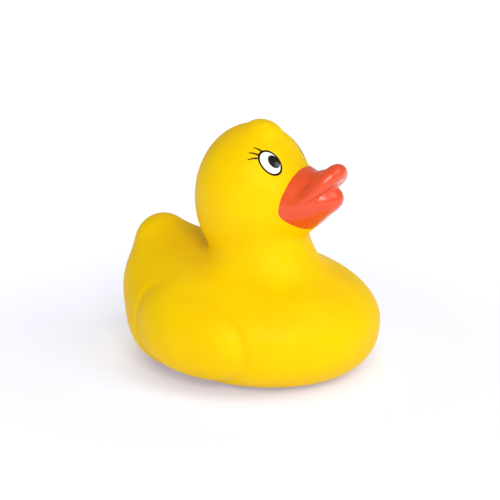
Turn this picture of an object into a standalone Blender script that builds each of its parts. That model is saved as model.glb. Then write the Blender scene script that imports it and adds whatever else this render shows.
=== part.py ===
"""A rubber duck: one hollow moulding of soft vinyl, with an air hole in its flat foot.

The duck faces +X, +Y is its left side, +Z is up, and it stands on z = 0. Its skin is one smooth surface, described
by a field: a function that is negative inside the duck, zero on its skin and positive outside. Each lump of the duck
(hull, tail, neck, head, bill, tuft) is a simple closed shape, and the lumps melt into each other with soft fillets,
as clay pressed together does. A net of quads is laid through the small cells of space that the skin crosses, and its
points then settle onto the field's zero surface.
"""

import math

import bmesh
import bpy
import numpy as np
from mathutils import Matrix

MM = 0.001

# Hull: an egg-like boat, blunter below than above, a little longer in front than behind.
HULL_MIDDLE = (0.8 * MM, 0.0, 17.0 * MM)
HULL_FRONT = 41.0 * MM
HULL_REAR = 39.0 * MM
HULL_HALF_WIDTH = 35.6 * MM
HULL_RISE = 18.8 * MM
HULL_DROP = 19.3 * MM
HULL_PITCH = math.radians(-3.0)
HULL_TOP_POWER = 2.0
HULL_BOTTOM_POWER = 2.6

# Tail: a broad cone that turns up to a round tip, on a round rump.
TAIL_TIP = (-33.2 * MM, 0.0, 34.6 * MM)
TAIL_ROOT = (-18.8 * MM, 0.0, 12.0 * MM)
TAIL_TIP_RADIUS = 7.0 * MM
TAIL_ROOT_RADIUS = 17.4 * MM
TAIL_SPREAD = 1.35
RUMP_MIDDLE = (-24.2 * MM, 0.0, 23.0 * MM)
RUMP_RADII = (17.0 * MM, 20.0 * MM, 12.0 * MM)
RUMP_PITCH = math.radians(-8.0)

# Head and neck.
HEAD_MIDDLE = (1.4 * MM, 0.0, 53.5 * MM)
HEAD_RADII = (18.0 * MM, 18.0 * MM, 22.5 * MM)
HEAD_PITCH = math.radians(-3.0)
NECK_MIDDLE = (5.0 * MM, 0.0, 35.8 * MM)
NECK_RADII = (15.2 * MM, 14.5 * MM, 14.4 * MM)
MUZZLE_MIDDLE = (14.8 * MM, 0.0, 54.0 * MM)
MUZZLE_RADII = (11.0 * MM, 10.5 * MM, 10.0 * MM)
MUZZLE_PITCH = math.radians(20.0)
TUFT_MIDDLE = (5.4 * MM, 0.0, 74.0 * MM)
TUFT_RADII = (5.6 * MM, 5.0 * MM, 3.3 * MM)
TUFT_PITCH = math.radians(-16.0)

# Two strands of feather that lie over the tuft: where each one starts and ends, and its radius.
STRANDS = (
    ((4.2 * MM, -4.6 * MM, 73.6 * MM), (6.6 * MM, -1.6 * MM, 76.5 * MM), 0.8 * MM),
    ((7.6 * MM, -3.6 * MM, 73.9 * MM), (8.6 * MM, -0.4 * MM, 76.0 * MM), 0.7 * MM),
)

# Bill: a swollen base and two lips that touch. The upper lip is a short roof with a rolled rim, thick in front where
# it turns up and thin at the sides, where it droops. The lower lip is a cushion hollowed across to take the rim. A
# tongue between them closes the mouth.
BILL_BASE_MIDDLE = (16.8 * MM, 0.0, 55.6 * MM)
BILL_BASE_RADII = (10.4 * MM, 9.6 * MM, 7.6 * MM)
BILL_BASE_PITCH = math.radians(36.0)
TONGUE_MIDDLE = (23.0 * MM, 0.0, 57.0 * MM)
TONGUE_RADII = (9.0 * MM, 5.8 * MM, 3.5 * MM)
TONGUE_PITCH = math.radians(34.0)
UPPER_LIP_MIDDLE = (23.6 * MM, 0.0, 58.6 * MM)
UPPER_LIP_PITCH = math.radians(40.0)
ROOF_RADII = (9.0 * MM, 5.0 * MM, 4.4 * MM)
ROOF_LIFT = 0.3 * MM
RIM_LENGTH = 12.0 * MM
RIM_HALF_WIDTH = 10.2 * MM
RIM_TAPER = 0.24
RIM_PLACE = 0.74
RIM_SQUEEZE = 0.96
RIM_THIN = 1.25 * MM
RIM_THICK = 2.8 * MM
RIM_GROWS_FROM = -5.0 * MM
RIM_GROWS_OVER = 16.0 * MM
RIM_LIFT = 0.3 * MM
RIM_DROOP = 0.019 / MM
LOWER_LIP_MIDDLE = (22.2 * MM, 0.0, 53.2 * MM)
LOWER_LIP_PITCH = math.radians(27.0)
LOWER_LIP_LENGTH = 11.2 * MM
LOWER_LIP_HALF_WIDTH = 9.2 * MM
LOWER_LIP_HEIGHT = 4.4 * MM
LOWER_LIP_TAPER = 0.20
LOWER_LIP_HOLLOW = 0.03 / MM
LOWER_LIP_DROP = 0.2 * MM
LOWER_LIP_POWER = 2.4

# Wings: soft lobes on the flanks inside a narrow groove, with a fuller corner at the tip, above and behind. The
# groove fades out along the wing's back, and the whole relief fades in above the foot.
WING_MIDDLE = (-5.9 * MM, 0.0, 16.5 * MM)
WING_FRONT = 24.0 * MM
WING_REAR = 17.0 * MM
WING_ABOVE = 12.0 * MM
WING_BELOW = 15.5 * MM
WING_PITCH = math.radians(-5.0)
WING_POWER = 2.2
WING_TIP_POWER = 3.4
WING_RELIEF = 1.5 * MM
WING_ROLL = 3.5 * MM
WING_ROLL_POWER = 1.3
GROOVE_DEPTH = 0.6 * MM
GROOVE_WIDTH = 0.9 * MM
GROOVE_FADES_AT = -8.0 * MM
GROOVE_FADES_OVER = 7.0 * MM
RELIEF_FADES_IN_OVER = 5.0 * MM

# Fillets between the lumps: the larger, the softer.
TAIL_FILLET = 7.0 * MM
NECK_FILLET = 4.0 * MM
SHOULDER_FILLET = 6.0 * MM
SHOULDER_FILLET_GAIN = 0.15
MUZZLE_FILLET = 4.0 * MM
LIP_FILLET = 1.0 * MM
BILL_BASE_FILLET = 2.0 * MM
BILL_FILLET = 3.5 * MM
BILL_FILLET_GAIN = 0.2
BILL_FILLET_HEIGHT = 57.0 * MM
BILL_FILLET_RANGE = (3.0 * MM, 6.0 * MM)
TUFT_FILLET = 1.6 * MM
STRAND_FILLET = 0.8 * MM
FOOT_FILLET = 2.0 * MM

# Moulding: the wall, the thicker foot, and the air hole in its shallow round recess.
WALL = 1.8 * MM
FOOT_WALL = 2.4 * MM
RECESS_RADIUS = 8.0 * MM
RECESS_DEPTH = 0.8 * MM
AIR_HOLE_RADIUS = 1.6 * MM
AIR_HOLE_SIDES = 24
RECESS_SIDES = 48

# Meshes: the corners of the space that the nets are laid in, the nets' cells, and how many triangles are kept.
NET_LOW = (-46.0 * MM, -41.0 * MM, -2.0 * MM)
NET_HIGH = (46.0 * MM, 41.0 * MM, 82.0 * MM)
SKIN_CELL = 1.0 * MM
SKIN_TRIANGLES = 6400
INNER_CELL = 2.0 * MM
INNER_TRIANGLES = 1500
SLOPE_STEP = 0.02 * MM
LONGEST_MOVE = 0.8 * MM
SETTLE_ROUNDS = 4
SETTLE_PASSES = 3

VINYL_YELLOW = (0.95, 0.62, 0.01, 1.0)
VINYL_ROUGHNESS = 0.32


def melt(a, b, fillet):
    """The union of two fields, with a soft fillet where they meet."""
    share = np.maximum(fillet - np.abs(a - b), 0.0) / fillet
    return np.minimum(a, b) - share * share * fillet * 0.25


def pare(a, b, fillet):
    """What two fields have in common, with a rounded edge where they meet."""
    return -melt(-a, -b, fillet)


def soft_step(value):
    """0 below 0, 1 above 1, and a smooth rise between."""
    value = np.clip(value, 0.0, 1.0)
    return value * value * (3.0 - 2.0 * value)


def in_frame(points, middle, pitch):
    """The points' coordinates in a frame at middle whose nose is raised by pitch."""
    x, y, z = (points - np.array(middle)).T
    c, s = math.cos(pitch), math.sin(pitch)
    return x * c + z * s, y, z * c - x * s


def egg(x, y, z, radii):
    """Field of an ellipsoid about the origin."""
    rx, ry, rz = radii
    share = np.sqrt((x / rx) ** 2 + (y / ry) ** 2 + (z / rz) ** 2)
    slope = np.sqrt((x / rx**2) ** 2 + (y / ry**2) ** 2 + (z / rz**2) ** 2)
    return share * (share - 1.0) / np.maximum(slope, 1.0)


def ball_field(points, middle, radii, pitch=0.0):
    return egg(*in_frame(points, middle, pitch), radii)


def hull_field(points):
    """An ellipsoid in plan whose cross-section is blunter below its widest line than above it."""
    x, y, z = in_frame(points, HULL_MIDDLE, HULL_PITCH)
    length = np.where(x > 0.0, HULL_FRONT, HULL_REAR)
    height = np.where(z > 0.0, HULL_RISE, HULL_DROP)
    power = np.where(z > 0.0, HULL_TOP_POWER, HULL_BOTTOM_POWER)
    across = np.sqrt((x / length) ** 2 + (y / HULL_HALF_WIDTH) ** 2)
    up = np.abs(z) / height
    share = (across**power + up**power) ** (1.0 / power)
    slope = np.sqrt((x / length**2) ** 2 + (y / HULL_HALF_WIDTH**2) ** 2 + (up / height) ** 2)
    return share * (share - 1.0) / np.maximum(slope, 1.0)


def tail_field(points):
    """A cone with round ends, spread sideways, melted into the rump."""
    tip, root = np.array(TAIL_TIP), np.array(TAIL_ROOT)
    axis = root - tip
    length = np.linalg.norm(axis)
    flare = (TAIL_ROOT_RADIUS - TAIL_TIP_RADIUS) / length
    offset = (points - tip) * (1.0, 1.0 / TAIL_SPREAD, 1.0)
    along = np.clip(offset @ axis / length**2, 0.0, 1.0)
    away = np.linalg.norm(offset - along[:, None] * axis, axis=1)
    along = np.clip(offset @ axis / length**2 + flare * away / length, 0.0, 1.0)
    away = np.linalg.norm(offset - along[:, None] * axis, axis=1)
    cone = away - TAIL_TIP_RADIUS - flare * length * along
    return melt(cone, ball_field(points, RUMP_MIDDLE, RUMP_RADII, RUMP_PITCH), TAIL_FILLET)


def wing_relief(points):
    """How far the wings stand out from the flanks, at each point."""
    x, y, z = in_frame(points, WING_MIDDLE, WING_PITCH)
    length = np.where(x > 0.0, WING_FRONT, WING_REAR)
    height = np.where(z > 0.0, WING_ABOVE, WING_BELOW)
    power = np.where((x < 0.0) & (z > 0.0), WING_TIP_POWER, WING_POWER)
    share = (np.abs(x / length) ** power + np.abs(z / height) ** power) ** (1.0 / power)
    outside = (share - 1.0) * WING_ABOVE
    lobe = WING_RELIEF * (1.0 - np.exp(-(np.maximum(-outside, 0.0) / WING_ROLL) ** WING_ROLL_POWER))
    fade = np.where(z > 0.0, np.exp(-(((x - GROOVE_FADES_AT) / GROOVE_FADES_OVER) ** 2)), 0.0)
    groove = GROOVE_DEPTH * (1.0 - fade) * np.exp(-((outside / GROOVE_WIDTH) ** 2))
    flank = np.clip(np.abs(y) / (0.5 * HULL_HALF_WIDTH), 0.0, 1.0) ** 2
    return flank * soft_step(points[:, 2] / RELIEF_FADES_IN_OVER) * (lobe - groove)


def upper_lip_field(points):
    x, y, z = in_frame(points, UPPER_LIP_MIDDLE, UPPER_LIP_PITCH)
    roof = egg(x, y, z - ROOF_LIFT, ROOF_RADII)
    ring = np.sqrt((x / RIM_LENGTH) ** 2 + (y / (RIM_HALF_WIDTH - RIM_TAPER * x)) ** 2) - RIM_PLACE
    roll = RIM_THIN + (RIM_THICK - RIM_THIN) * soft_step((x - RIM_GROWS_FROM) / RIM_GROWS_OVER)
    rim = np.hypot(ring * RIM_HALF_WIDTH * RIM_SQUEEZE, z - RIM_LIFT + RIM_DROOP * y**2) - roll
    return melt(roof, rim, LIP_FILLET)


def lower_lip_field(points):
    x, y, z = in_frame(points, LOWER_LIP_MIDDLE, LOWER_LIP_PITCH)
    z = z + LOWER_LIP_DROP - LOWER_LIP_HOLLOW * y**2
    half_width = LOWER_LIP_HALF_WIDTH - LOWER_LIP_TAPER * x
    across = np.sqrt((x / LOWER_LIP_LENGTH) ** 2 + (y / half_width) ** 2)
    up = np.abs(z) / LOWER_LIP_HEIGHT
    share = (across**LOWER_LIP_POWER + up**LOWER_LIP_POWER) ** (1.0 / LOWER_LIP_POWER)
    slope = np.sqrt((x / LOWER_LIP_LENGTH**2) ** 2 + (y / half_width**2) ** 2 + (z / LOWER_LIP_HEIGHT**2) ** 2)
    return share * (share - 1.0) / np.maximum(slope, 1.0)


def bill_field(points):
    tongue = ball_field(points, TONGUE_MIDDLE, TONGUE_RADII, TONGUE_PITCH)
    lips = melt(melt(upper_lip_field(points), tongue, LIP_FILLET), lower_lip_field(points), LIP_FILLET)
    base = ball_field(points, BILL_BASE_MIDDLE, BILL_BASE_RADII, BILL_BASE_PITCH)
    return melt(base, lips, BILL_BASE_FILLET)


def strand_field(points, start, end, radius):
    """A thin rod with round ends."""
    axis = np.subtract(end, start)
    offset = points - np.array(start)
    along = np.clip(offset @ axis / (axis @ axis), 0.0, 1.0)
    return np.linalg.norm(offset - along[:, None] * axis, axis=1) - radius


def head_field(points):
    """The head on its neck."""
    head = ball_field(points, HEAD_MIDDLE, HEAD_RADII, HEAD_PITCH)
    neck = ball_field(points, NECK_MIDDLE, NECK_RADII)
    return melt(head, neck, NECK_FILLET)


def trunk_field(points, hull):
    """Hull, tail and head melted together. The fillet at the neck is softer in front than behind."""
    shoulder = np.clip(SHOULDER_FILLET + SHOULDER_FILLET_GAIN * points[:, 0],
                       0.5 * SHOULDER_FILLET, 1.5 * SHOULDER_FILLET)
    trunk = melt(hull, tail_field(points), TAIL_FILLET)
    trunk = melt(trunk, head_field(points), shoulder)
    muzzle = ball_field(points, MUZZLE_MIDDLE, MUZZLE_RADII, MUZZLE_PITCH)
    return melt(trunk, muzzle, MUZZLE_FILLET)


def skin_field(points):
    """The whole duck's outside, cut flat at the foot."""
    duck = trunk_field(points, hull_field(points) - wing_relief(points))
    chin = np.clip(BILL_FILLET + BILL_FILLET_GAIN * (BILL_FILLET_HEIGHT - points[:, 2]), *BILL_FILLET_RANGE)
    duck = melt(duck, bill_field(points), chin)
    duck = melt(duck, ball_field(points, TUFT_MIDDLE, TUFT_RADII, TUFT_PITCH), TUFT_FILLET)
    for start, end, radius in STRANDS:
        duck = melt(duck, strand_field(points, start, end, radius), STRAND_FILLET)
    return pare(duck, -points[:, 2], FOOT_FILLET)


def inner_field(points):
    """The cavity: the plain trunk a wall's thickness further in, above the thicker foot."""
    trunk = trunk_field(points, hull_field(points)) + WALL
    return pare(trunk, FOOT_WALL - points[:, 2], FOOT_FILLET)


def slope_of(field, points):
    """The field's slope at each point, from its values on either side along each axis."""
    steps = np.eye(3) * SLOPE_STEP
    return np.stack([field(points + step) - field(points - step) for step in steps], 1) / (2.0 * SLOPE_STEP)


def settle(field, points):
    """Move the points along the field's slope until they lie on its zero surface."""
    for _ in range(SETTLE_ROUNDS):
        slope = slope_of(field, points)
        move = slope * (field(points) / np.maximum((slope**2).sum(1), 0.01))[:, None]
        length = np.linalg.norm(move, axis=1, keepdims=True)
        points = points - move * np.minimum(1.0, LONGEST_MOVE / np.maximum(length, LONGEST_MOVE))
    return points


def surface_net(field, cell):
    """A closed net round the field's inside: one point in each cell that the surface crosses, and a quad of four
    such points round each cell edge that it crosses."""
    low = np.array(NET_LOW)
    counts = np.ceil((np.array(NET_HIGH) - low) / cell).astype(int) + 1
    inside = np.empty(counts, dtype=bool)
    for index in range(counts[0]):
        sheet = np.stack(np.meshgrid(index, *(np.arange(count) for count in counts[1:]), indexing="ij"), -1)
        inside[index] = (field(low + cell * sheet.reshape(-1, 3)) < 0.0).reshape(counts[1:])
    corners = sum(inside[i:counts[0] - 1 + i, j:counts[1] - 1 + j, k:counts[2] - 1 + k].astype(int)
                  for i in (0, 1) for j in (0, 1) for k in (0, 1))
    crossed = (corners > 0) & (corners < 8)
    number = np.full(crossed.shape, -1)
    number[crossed] = np.arange(crossed.sum())
    quads = []
    for axis in range(3):
        ahead = np.roll(inside, -1, axis)
        steps = np.zeros((4, 3), dtype=int)
        steps[[0, 3], (axis + 1) % 3] = -1
        steps[[0, 1], (axis + 2) % 3] = -1
        for here, there, order in ((inside, ahead, 1), (ahead, inside, -1)):
            cells = np.argwhere(here & ~there)[:, None, :] + steps[::order]
            quads.append(number[cells[..., 0], cells[..., 1], cells[..., 2]])
    return low + (np.argwhere(crossed) + 0.5) * cell, np.concatenate(quads)


def evaluated_mesh(helper, name):
    """The helper's mesh with its modifiers applied. The helper itself is removed."""
    bpy.context.collection.objects.link(helper)
    graph = bpy.context.evaluated_depsgraph_get()
    mesh = bpy.data.meshes.new_from_object(helper.evaluated_get(graph))
    mesh.name = name
    bpy.data.objects.remove(helper)
    return mesh


def settled_mesh(field, cell, name):
    """The field's net, relaxed and settled onto its zero surface."""
    points, quads = surface_net(field, cell)
    mesh = bpy.data.meshes.new(name)
    mesh.from_pydata(settle(field, points).tolist(), [], quads.tolist())
    shell = bmesh.new()
    shell.from_mesh(mesh)
    for _ in range(SETTLE_PASSES):
        bmesh.ops.smooth_vert(shell, verts=shell.verts, factor=0.5,
                              use_axis_x=True, use_axis_y=True, use_axis_z=True)
        places = settle(field, np.array([vert.co[:] for vert in shell.verts]))
        for vert, place in zip(shell.verts, places):
            vert.co = place
    bmesh.ops.triangulate(shell, faces=shell.faces)
    bmesh.ops.recalc_face_normals(shell, faces=shell.faces)
    shell.to_mesh(mesh)
    shell.free()
    return mesh


def thinned(mesh, triangles, name):
    """The mesh with only as many triangles as its shape needs, more of them where it bends."""
    helper = bpy.data.objects.new(name, mesh)
    decimate = helper.modifiers.new("fewer_triangles", "DECIMATE")
    decimate.ratio = triangles / len(mesh.polygons)
    return evaluated_mesh(helper, name)


def flatten_foot(mesh, level):
    """Put the points of the flat foot exactly on its plane."""
    for vert in mesh.vertices:
        if abs(vert.co.z - level) < SLOPE_STEP:
            vert.co.z = level


def cutter(name, mesh):
    obj = bpy.data.objects.new(name, mesh)
    obj.hide_render = True
    obj.display_type = "WIRE"
    bpy.context.collection.objects.link(obj)
    return obj


def round_cutter(name, radius, bottom, top, sides):
    """An upright drum between two heights, on the foot's middle."""
    mesh = bpy.data.meshes.new(name)
    drum = bmesh.new()
    place = Matrix.Translation((0.0, 0.0, 0.5 * (bottom + top)))
    bmesh.ops.create_cone(drum, cap_ends=True, segments=sides, radius1=radius, radius2=radius,
                          depth=top - bottom, matrix=place)
    drum.to_mesh(mesh)
    drum.free()
    return cutter(name, mesh)


def cut(obj, tool):
    modifier = obj.modifiers.new(tool.name, "BOOLEAN")
    modifier.operation = "DIFFERENCE"
    modifier.solver = "EXACT"
    modifier.object = tool


def vinyl():
    material = bpy.data.materials.new("yellow_vinyl")
    material.use_nodes = True
    shader = material.node_tree.nodes["Principled BSDF"]
    shader.inputs["Base Color"].default_value = VINYL_YELLOW
    shader.inputs["Roughness"].default_value = VINYL_ROUGHNESS
    shader.inputs["Metallic"].default_value = 0.0
    return material


def duck_body():
    """The moulding: skin, cavity, foot recess and air hole."""
    skin = thinned(settled_mesh(skin_field, SKIN_CELL, "skin"), SKIN_TRIANGLES, "duck_body")
    flatten_foot(skin, 0.0)
    inner = thinned(settled_mesh(inner_field, INNER_CELL, "inner"), INNER_TRIANGLES, "cavity")
    flatten_foot(inner, FOOT_WALL)
    body = bpy.data.objects.new("duck_body", skin)
    bpy.context.collection.objects.link(body)
    skin.materials.append(vinyl())
    skin.shade_smooth()
    skin.set_sharp_from_angle(angle=math.radians(40.0))
    cut(body, cutter("cavity", inner))
    cut(body, round_cutter("foot_recess", RECESS_RADIUS, -RECESS_DEPTH, RECESS_DEPTH, RECESS_SIDES))
    cut(body, round_cutter("air_hole", AIR_HOLE_RADIUS, -FOOT_WALL, 2.0 * FOOT_WALL, AIR_HOLE_SIDES))
    return body


def main():
    for obj in list(bpy.data.objects):
        bpy.data.objects.remove(obj)
    duck_body()


main()
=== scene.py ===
# %% [markdown]
# # A rubber duck, finished
#
# The duck is one hollow moulding of soft yellow vinyl. Its bill is sprayed orange-red and its eyes are printed on.
# The construction comes in as a fixed frame: one CAD node, `duck_body`, which says how long, wide and high the duck
# is. This script makes the surface that the eye sees: a finer skin of the same shape, the paint, the printed eyes
# and a plain studio.

# %% Load the frame
import math

import bmesh
import bpy
import numpy as np
from mathutils import Matrix, Vector


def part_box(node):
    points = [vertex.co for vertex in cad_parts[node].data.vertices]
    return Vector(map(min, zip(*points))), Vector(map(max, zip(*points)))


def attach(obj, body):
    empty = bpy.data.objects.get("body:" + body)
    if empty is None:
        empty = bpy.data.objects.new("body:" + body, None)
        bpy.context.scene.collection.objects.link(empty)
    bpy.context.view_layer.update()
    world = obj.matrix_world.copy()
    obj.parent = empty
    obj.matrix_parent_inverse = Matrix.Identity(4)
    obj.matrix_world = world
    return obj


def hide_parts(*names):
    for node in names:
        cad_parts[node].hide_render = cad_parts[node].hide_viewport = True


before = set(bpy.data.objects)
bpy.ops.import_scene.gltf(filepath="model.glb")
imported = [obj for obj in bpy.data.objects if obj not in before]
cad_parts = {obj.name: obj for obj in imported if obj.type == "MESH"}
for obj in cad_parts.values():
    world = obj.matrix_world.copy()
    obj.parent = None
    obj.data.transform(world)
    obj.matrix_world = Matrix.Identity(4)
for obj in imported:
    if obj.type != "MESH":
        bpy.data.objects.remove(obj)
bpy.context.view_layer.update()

body_low, body_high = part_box("duck_body")
print("the duck is", [round(1000.0 * side, 1) for side in body_high - body_low], "mm")

# %% [markdown]
# All sizes below are in millimetres of a duck 83.7 mm long. One driving dimension turns them into the frame's own
# size: the length of the CAD body, from tail to breast. The places count from the middle of the CAD body's foot.

# %% The driving dimension
DUCK_LENGTH = 83.7
MM = (body_high.x - body_low.x) / DUCK_LENGTH
FOOT = np.array([0.5 * (body_low.x + body_high.x), 0.5 * (body_low.y + body_high.y), body_low.z])
print("one drawing millimetre is", round(MM * 1000.0, 4), "mm, and the foot's middle is at", FOOT.round(5))

# %% [markdown]
# ## The skin
#
# A cast vinyl toy has no flat panels and no sharp corners: its sculptor pressed lumps of clay together and smoothed
# the joins with a thumb. Sculpting by hand can't be repeated by a script, and a subdivision cage makes it hard to
# place a fillet. A field does both. It is a function of a point that is negative inside the duck, zero on its skin
# and positive outside. Two fields are joined with a soft minimum, `melt`, whose fillet is the thumb.

# %% Fields: lumps of clay and the thumb that joins them
def melt(a, b, fillet):
    """The union of two fields, with a soft fillet where they meet."""
    share = np.maximum(fillet - np.abs(a - b), 0.0) / fillet
    return np.minimum(a, b) - share * share * fillet * 0.25


def pare(a, b, fillet):
    """What two fields have in common, with a rounded edge where they meet."""
    return -melt(-a, -b, fillet)


def soft_step(value):
    """0 below 0, 1 above 1, and a smooth rise between."""
    value = np.clip(value, 0.0, 1.0)
    return value * value * (3.0 - 2.0 * value)


def in_frame(points, middle, pitch=0.0):
    """The points' coordinates in a frame at middle whose nose is raised by pitch degrees."""
    x, y, z = (points - np.array(middle)).T
    c, s = math.cos(math.radians(pitch)), math.sin(math.radians(pitch))
    return x * c + z * s, y, z * c - x * s


def egg(x, y, z, radii):
    """Field of an ellipsoid about the origin."""
    rx, ry, rz = radii
    share = np.sqrt((x / rx) ** 2 + (y / ry) ** 2 + (z / rz) ** 2)
    slope = np.sqrt((x / rx**2) ** 2 + (y / ry**2) ** 2 + (z / rz**2) ** 2)
    return share * (share - 1.0) / np.maximum(slope, 0.001)


def lump_field(points, lump):
    middle, radii, pitch = lump
    return egg(*in_frame(points, middle, pitch), radii)


# %% [markdown]
# ### Hull and tail
#
# The hull is a boat: an egg in plan, round on top and blunter below, where it turns under to a flat foot. The tail
# is a broad cone with a round tip, spread sideways and turned up, on a rump that fills the hull behind.

# %% Hull and tail
HULL_MIDDLE = (0.8, 0.0, 17.0)
HULL_PITCH = -3.0
HULL_FRONT, HULL_REAR, HULL_HALF_WIDTH = 41.0, 39.0, 35.6
HULL_RISE, HULL_DROP = 18.8, 19.3
HULL_TOP_POWER, HULL_BOTTOM_POWER = 2.0, 2.6
TAIL_TIP, TAIL_TIP_RADIUS = (-33.2, 0.0, 34.6), 7.0
TAIL_ROOT, TAIL_ROOT_RADIUS = (-18.8, 0.0, 12.0), 17.4
TAIL_SPREAD = 1.35
TAIL_FILLET = 7.0
RUMP = ((-24.2, 0.0, 23.0), (17.0, 20.0, 12.0), -8.0)


def hull_field(points):
    x, y, z = in_frame(points, HULL_MIDDLE, HULL_PITCH)
    length = np.where(x > 0.0, HULL_FRONT, HULL_REAR)
    height = np.where(z > 0.0, HULL_RISE, HULL_DROP)
    power = np.where(z > 0.0, HULL_TOP_POWER, HULL_BOTTOM_POWER)
    across = np.sqrt((x / length) ** 2 + (y / HULL_HALF_WIDTH) ** 2)
    up = np.abs(z) / height
    share = (across**power + up**power) ** (1.0 / power)
    slope = np.sqrt((x / length**2) ** 2 + (y / HULL_HALF_WIDTH**2) ** 2 + (up / height) ** 2)
    return share * (share - 1.0) / np.maximum(slope, 0.001)


def tail_field(points):
    tip, root = np.array(TAIL_TIP), np.array(TAIL_ROOT)
    axis = root - tip
    length = np.linalg.norm(axis)
    flare = (TAIL_ROOT_RADIUS - TAIL_TIP_RADIUS) / length
    offset = (points - tip) * (1.0, 1.0 / TAIL_SPREAD, 1.0)
    along = np.clip(offset @ axis / length**2, 0.0, 1.0)
    away = np.linalg.norm(offset - along[:, None] * axis, axis=1)
    along = np.clip(offset @ axis / length**2 + flare * away / length, 0.0, 1.0)
    away = np.linalg.norm(offset - along[:, None] * axis, axis=1)
    cone = away - TAIL_TIP_RADIUS - flare * length * along
    return melt(cone, lump_field(points, RUMP), TAIL_FILLET)


# %% [markdown]
# ### Wings
#
# The wings aren't separate pieces: they are soft lobes in the flanks, cut into the mould, each inside a narrow
# groove. So they are a relief, a small height that is taken off the hull's field. The lobe is round in front and
# below, and has a fuller corner behind and above, which is the folded wing's tip. It rises out of the groove like a
# pillow. Along the wing's back the groove fades out, and near the foot the whole relief does.

# %% Wings
WING_MIDDLE, WING_PITCH = (-5.9, 0.0, 16.5), -5.0
WING_FRONT, WING_REAR, WING_ABOVE, WING_BELOW = 24.0, 17.0, 12.0, 15.5
WING_POWER, WING_TIP_POWER = 2.2, 3.4
WING_RELIEF, WING_ROLL, WING_ROLL_POWER = 1.5, 3.5, 1.3
GROOVE_DEPTH, GROOVE_WIDTH = 0.6, 0.9
GROOVE_FADES_AT, GROOVE_FADES_OVER = -8.0, 7.0
RELIEF_FADES_IN_OVER = 5.0


def wing_relief(points):
    x, y, z = in_frame(points, WING_MIDDLE, WING_PITCH)
    length = np.where(x > 0.0, WING_FRONT, WING_REAR)
    height = np.where(z > 0.0, WING_ABOVE, WING_BELOW)
    power = np.where((x < 0.0) & (z > 0.0), WING_TIP_POWER, WING_POWER)
    share = (np.abs(x / length) ** power + np.abs(z / height) ** power) ** (1.0 / power)
    outside = (share - 1.0) * WING_ABOVE
    lobe = WING_RELIEF * (1.0 - np.exp(-(np.maximum(-outside, 0.0) / WING_ROLL) ** WING_ROLL_POWER))
    fade = np.where(z > 0.0, np.exp(-(((x - GROOVE_FADES_AT) / GROOVE_FADES_OVER) ** 2)), 0.0)
    groove = GROOVE_DEPTH * (1.0 - fade) * np.exp(-((outside / GROOVE_WIDTH) ** 2))
    flank = np.clip(2.0 * np.abs(y) / HULL_HALF_WIDTH, 0.0, 1.0) ** 2
    return flank * soft_step(points[:, 2] / RELIEF_FADES_IN_OVER) * (lobe - groove)


# %% [markdown]
# ### Head, neck and tuft
#
# The head is a tall egg on a short neck. The fillet round the neck is soft in front, where the breast runs up into
# the throat, and tight behind, where the tail's ridge meets the nape in a crease. A low tuft of feathers crowns the
# head, and two thin strands lie over it from the right.

# %% Head, neck and tuft
HEAD = ((1.4, 0.0, 53.5), (18.0, 18.0, 22.5), -3.0)
NECK = ((5.0, 0.0, 35.8), (15.2, 14.5, 14.4), 0.0)
MUZZLE = ((14.8, 0.0, 54.0), (11.0, 10.5, 10.0), 20.0)
TUFT = ((5.4, 0.0, 74.0), (5.6, 5.0, 3.3), -16.0)
STRANDS = (((4.2, -4.6, 73.6), (6.6, -1.6, 76.5), 0.8),
           ((7.6, -3.6, 73.9), (8.6, -0.4, 76.0), 0.7))
NECK_FILLET, MUZZLE_FILLET, TUFT_FILLET, STRAND_FILLET = 4.0, 4.0, 1.6, 0.8
SHOULDER_FILLET, SHOULDER_FILLET_GAIN = 6.0, 0.15


def strand_field(points, start, end, radius):
    """A thin rod with round ends."""
    axis = np.subtract(end, start)
    offset = points - np.array(start)
    along = np.clip(offset @ axis / (axis @ axis), 0.0, 1.0)
    return np.linalg.norm(offset - along[:, None] * axis, axis=1) - radius


def head_field(points):
    """The head on its neck."""
    return melt(lump_field(points, HEAD), lump_field(points, NECK), NECK_FILLET)


def with_tuft(duck, points):
    """The duck's field with the tuft and its strands melted on."""
    duck = melt(duck, lump_field(points, TUFT), TUFT_FILLET)
    for start, end, radius in STRANDS:
        duck = melt(duck, strand_field(points, start, end, radius), STRAND_FILLET)
    return duck


# %% [markdown]
# ### Bill
#
# The bill pouts. Its upper half is a short roof with a rolled rim, and the rim is what catches the light: thick
# where it turns up in front, thin where it runs back and down to the corner of the mouth. The roll is a ring, an
# ellipse in plan that droops at its sides. The lower lip is a soft cushion whose top is hollowed across to take the
# rim. The lips touch, so the mouth is only a line between them.

# %% Bill
BILL_BASE = ((16.8, 0.0, 55.6), (10.4, 9.6, 7.6), 36.0)
TONGUE = ((23.0, 0.0, 57.0), (9.0, 5.8, 3.5), 34.0)
UPPER_LIP_MIDDLE, UPPER_LIP_PITCH = (23.6, 0.0, 58.6), 40.0
ROOF_RADII, ROOF_LIFT = (9.0, 5.0, 4.4), 0.3
RIM_LENGTH, RIM_HALF_WIDTH, RIM_TAPER, RIM_PLACE, RIM_SQUEEZE = 12.0, 10.2, 0.24, 0.74, 0.96
RIM_THIN, RIM_THICK, RIM_GROWS_FROM, RIM_GROWS_OVER = 1.25, 2.8, -5.0, 16.0
RIM_LIFT, RIM_DROOP = 0.3, 0.019
LOWER_LIP_MIDDLE, LOWER_LIP_PITCH = (22.2, 0.0, 53.2), 27.0
LOWER_LIP_LENGTH, LOWER_LIP_HALF_WIDTH, LOWER_LIP_HEIGHT = 11.2, 9.2, 4.4
LOWER_LIP_TAPER, LOWER_LIP_SAG, LOWER_LIP_DROP, LOWER_LIP_POWER = 0.20, 0.03, 0.2, 2.4
LIP_FILLET, BILL_BASE_FILLET = 1.0, 2.0
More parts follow.
